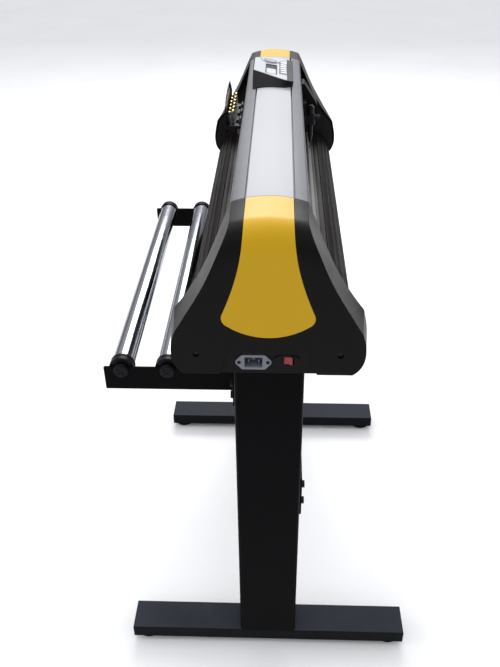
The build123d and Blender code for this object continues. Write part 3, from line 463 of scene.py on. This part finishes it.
def inlet_screws():
    low, high = (Vector(v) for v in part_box("inlet_socket"))
    bm = bmesh.new()
    for side in (-1, 1):
        centre = Vector((low.x, (low.y + high.y) / 2 + side * 19.5 * MM, (low.z + high.z) / 2))
        cross_head(bm, centre, Vector((-1, 0, 0)), 2.5 * MM, 0.7 * MM, 1.5 * MM, 0.6 * MM, 0.5 * MM)
    piece("inlet_screws", bm, "bolt_zinc", "machine", False)


def cheek_screws():
    """Two small screws on the cheek of the lift bar."""
    low, high = (Vector(v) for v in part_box("lift_handle"))
    bm = bmesh.new()
    for dy, z in ((-7.5, 0.933), (-4.8, 0.920)):
        centre = Vector((high.x - 4 * MM, high.y + dy * MM, z))
        cross_head(bm, centre, Vector((-1, 0, 0)), 2.2 * MM, 0.9 * MM, 1.3 * MM, 0.5 * MM, 0.5 * MM)
    # Pale heads: real screws, their pale colour partly a painted highlight for the glints on them.
    piece("cheek_screws", bm, "key_plastic", "lift_bar", False)


def press_axis(name):
    joints = RECORD["behaviour"]["joints"]
    return Vector([j for j in joints if j["name"] == name][0]["axis"]).normalized()


class PanelFace:
    """Places points on the sloping panel face, in millimetres from the middle of the arrow pad."""

    def __init__(self):
        self.up = press_axis("direction_pad_press")
        climb = self.up.cross(Vector((1, 0, 0))).normalized()
        self.climb = -climb if climb.y < 0 else climb
        self.pad = self.middle_of("arrow_pad")

    def middle_of(self, node):
        low, high = (Vector(v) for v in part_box(node))
        return (low + high) / 2

    def at(self, u, v, h):
        """u runs along the machine, v up the slope and h out of the face."""
        return self.pad + Vector((u, 0, 0)) * MM + self.climb * v * MM + self.up * h * MM

    def place(self, node):
        """(u, v) of a node's middle."""
        away = self.middle_of(node) - self.pad
        return away.x / MM, away.dot(self.climb) / MM

    def ribbon(self, bm, points, widths, base, thick):
        lower, upper = [], []
        for k, (u, v) in enumerate(points):
            a = Vector(points[max(k - 1, 0)])
            b = Vector(points[min(k + 1, len(points) - 1)])
            along = (b - a).normalized()
            across = Vector((-along.y, along.x)) * widths[k] / 2
            for store, h in ((lower, base), (upper, base + thick)):
                store.append([
                    bm.verts.new(self.at(u + s * across.x, v + s * across.y, h)) for s in (-1, 1)
                ])
        for k in range(len(points) - 1):
            for pair in (lower, upper):
                bm.faces.new((pair[k][0], pair[k][1], pair[k + 1][1], pair[k + 1][0]))
            for s in (0, 1):
                bm.faces.new((lower[k][s], lower[k + 1][s], upper[k + 1][s], upper[k][s]))
        for k in (0, -1):
            bm.faces.new((lower[k][0], lower[k][1], upper[k][1], upper[k][0]))


TRIM_BASE = 0.45           # height of the trim's underside above the pad's middle, mm
SWOOSH_THICK, SURROUND_THICK = 0.25, 0.15


def swelling(count, ends, middle):
    """Widths that grow from the ends of a ribbon to its middle."""
    return [ends + middle * math.sin(math.pi * k / (count - 1)) for k in range(count)]


def panel_swoosh(face):
    """Two dark curved strokes round the arrow pad."""

    def arc(radius, start, stop, steps=24):
        angles = [math.radians(start + (stop - start) * k / steps) for k in range(steps + 1)]
        return [(radius * math.cos(a), radius * math.sin(a)) for a in angles]

    bm = bmesh.new()
    near = [(12, 21), (6, 19.5)] + arc(17.0, 95, 265) + [(8, -19), (15, -24), (22, -31)]
    face.ribbon(bm, near, swelling(len(near), 0.8, 2.2), TRIM_BASE, SWOOSH_THICK)
    far = arc(15.5, -60, 60)
    face.ribbon(bm, far, swelling(len(far), 0.6, 1.8), TRIM_BASE, SWOOSH_THICK)
    piece("panel_swoosh", bm, "panel_plastic", "machine", False)


def pad_arrows(face):
    """Four raised arrow heads on the pad."""
    bm = bmesh.new()
    head = [(10.6, 0), (7.6, 2.6), (7.6, -2.6)]
    for turn in range(4):
        c, s = math.cos(turn * math.pi / 2), math.sin(turn * math.pi / 2)
        rows = []
        for h in (1.2, 2.05):
            rows.append([bm.verts.new(face.at(a * c - b * s, a * s + b * c, h)) for a, b in head])
        wall(bm, rows[0], rows[1])
        bm.faces.new(rows[0])
        bm.faces.new(rows[1])
    piece("pad_arrows", bm, "panel_plastic", "direction_pad", False)


KEY_COUNT = 6
KEY_REACH = 6.6            # half the length of the openings that the keys stand in, mm
RAIL_WIDTH = 1.6
OUTER_BAR = 5.7            # from the middle of an end key to the middle of the end bar, mm


def key_surround(face):
    """Dark grid between the keys."""
    keys = [face.place(f"panel_key_{k}") for k in range(1, KEY_COUNT + 1)]
    row_u = [key[0] for key in keys]
    row_v = keys[0][1]
    bm = bmesh.new()
    for side in (-1, 1):
        v = row_v + side * (KEY_REACH + RAIL_WIDTH / 2)
        rail = [(row_u[0] - 7, v), (row_u[-1] + 7, v)]
        face.ribbon(bm, rail, [RAIL_WIDTH, RAIL_WIDTH], TRIM_BASE, SURROUND_THICK)
    inner = [(a + b) / 2 for a, b in zip(row_u, row_u[1:])]
    for u in [row_u[0] - OUTER_BAR] + inner + [row_u[-1] + OUTER_BAR]:
        width = 5.2 if row_u[0] <= u <= row_u[-1] else 2.6
        bar = [(u, row_v - KEY_REACH), (u, row_v + KEY_REACH)]
        face.ribbon(bm, bar, [width, width], TRIM_BASE, SURROUND_THICK)
    piece("key_surround", bm, "panel_plastic", "machine", False)


def window_frame(face):
    """Raised rim round the display."""
    low, high = (Vector(v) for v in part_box("display_window"))
    u0, v0 = face.place("display_window")
    w, h = (high.x - low.x) / 2 / MM, (high.y - low.y) / 2 / MM
    bm = bmesh.new()
    corners = [(-1, -1), (1, -1), (1, 1), (-1, 1)]
    rims = []
    for grow, level in ((0.1, 0.4), (0.1, 0.75), (1.9, 0.75), (1.9, 0.4)):
        rims.append([
            bm.verts.new(face.at(u0 + a * (w + grow), v0 + b * (h + grow), level)) for a, b in corners
        ])
    for a, b in zip(rims, rims[1:] + rims[:1]):
        wall(bm, a, b)
    piece("window_frame", bm, "panel_plastic", "machine", False)


def panel_trim():
    face = PanelFace()
    panel_swoosh(face)
    pad_arrows(face)
    key_surround(face)
    window_frame(face)


TICK_PITCH, TICK_WIDTH = 10, 0.4      # mm
TICKS_EACH_WAY = 38
TICK_INSET = 13.0 * MM     # from the front edge of the table


def scale_ticks():
    """Fine printed scale along the front of the media table."""
    low, high = (Vector(v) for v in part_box("platen"))
    bm = bmesh.new()
    for k in range(-TICKS_EACH_WAY, TICKS_EACH_WAY + 1):
        length = 6.0 if k % 5 == 0 else 3.2
        x0, x1 = (k * TICK_PITCH - TICK_WIDTH / 2) * MM, (k * TICK_PITCH + TICK_WIDTH / 2) * MM
        y0 = low.y + TICK_INSET
        y1 = y0 + length * MM
        rows = []
        for z in (high.z - 0.05 * MM, high.z + 0.06 * MM):
            rows.append([bm.verts.new((x, y, z)) for x, y in ((x0, y0), (x1, y0), (x1, y1), (x0, y1))])
        wall(bm, rows[0], rows[1])
        bm.faces.new(rows[0])
        bm.faces.new(rows[1])
    piece("scale_ticks", bm, "key_plastic", "machine", False)


# ---------------------------------------------------------------- stage
FLOOR_HALF = 20            # metres
LAMPS = (
    # name, place, target, size, watts
    ("overhead", (0.3, 0.2, 3.2), (0, 0, 0.6), (2.6, 2.2), 28),
    ("far_end", (3.2, 0, 3.0), (-0.3, 0, 0.9), (2.4, 1.4), 84),
    ("left_side", (-0.6, 2.6, 1.7), (0, 0, 0.8), (1.8, 1.2), 18),
    ("right_side", (-0.6, -2.6, 1.7), (0, 0, 0.8), (1.8, 1.2), 6),
)


def make_stage():
    bm = bmesh.new()
    bmesh.ops.create_grid(bm, x_segments=8, y_segments=8, size=FLOOR_HALF)
    mesh = bpy.data.meshes.new("floor")
    bm.to_mesh(mesh)
    bm.free()
    floor = bpy.data.objects.new("floor", mesh)
    bpy.context.scene.collection.objects.link(floor)
    n = Nodes("floor_pale")
    cloudy = n.mix(n.remap(n.noise(2.5), 0, 1), (0.84, 0.84, 0.84), (0.87, 0.87, 0.87))
    n.link(cloudy, n.bsdf.inputs["Base Color"])
    n.bsdf.inputs["Roughness"].default_value = 0.9
    mesh.materials.append(n.mat)


def area_light(name, place, target, size, power):
    data = bpy.data.lights.new(name, "AREA")
    data.shape = "RECTANGLE"
    data.size, data.size_y = size
    data.energy = power
    lamp = bpy.data.objects.new(name, data)
    lamp.location = place
    lamp.rotation_euler = (Vector(target) - Vector(place)).to_track_quat("-Z", "Y").to_euler()
    bpy.context.scene.collection.objects.link(lamp)


def make_world():
    """Bright ceiling over darker studio walls, so that plated parts show dark and light streaks."""
    world = bpy.data.worlds.new("studio")
    world.use_nodes = True
    tree = world.node_tree
    back = tree.nodes["Background"]
    back.inputs["Color"].default_value = (0.95, 0.96, 1.0, 1)
    coord = tree.nodes.new("ShaderNodeTexCoord")
    split = tree.nodes.new("ShaderNodeSeparateXYZ")
    lift = tree.nodes.new("ShaderNodeMapRange")
    tree.links.new(coord.outputs["Generated"], split.inputs[0])
    tree.links.new(split.outputs[2], lift.inputs["Value"])
    for key, number in (("From Min", 0.10), ("From Max", 0.55), ("To Min", 0.30), ("To Max", 1.0)):
        lift.inputs[key].default_value = number
    tree.links.new(lift.outputs["Result"], back.inputs["Strength"])
    bpy.context.scene.world = world


def make_lights():
    for lamp in LAMPS:
        area_light(*lamp)


make_camera()
MADE = paint_cad()
darken_window(MADE["window_clear"])
coil_springs()
roller_discs()
inlet_screws()
cheek_screws()
panel_trim()
scale_ticks()
make_stage()
make_world()
make_lights()

bpy.context.view_layer.update()
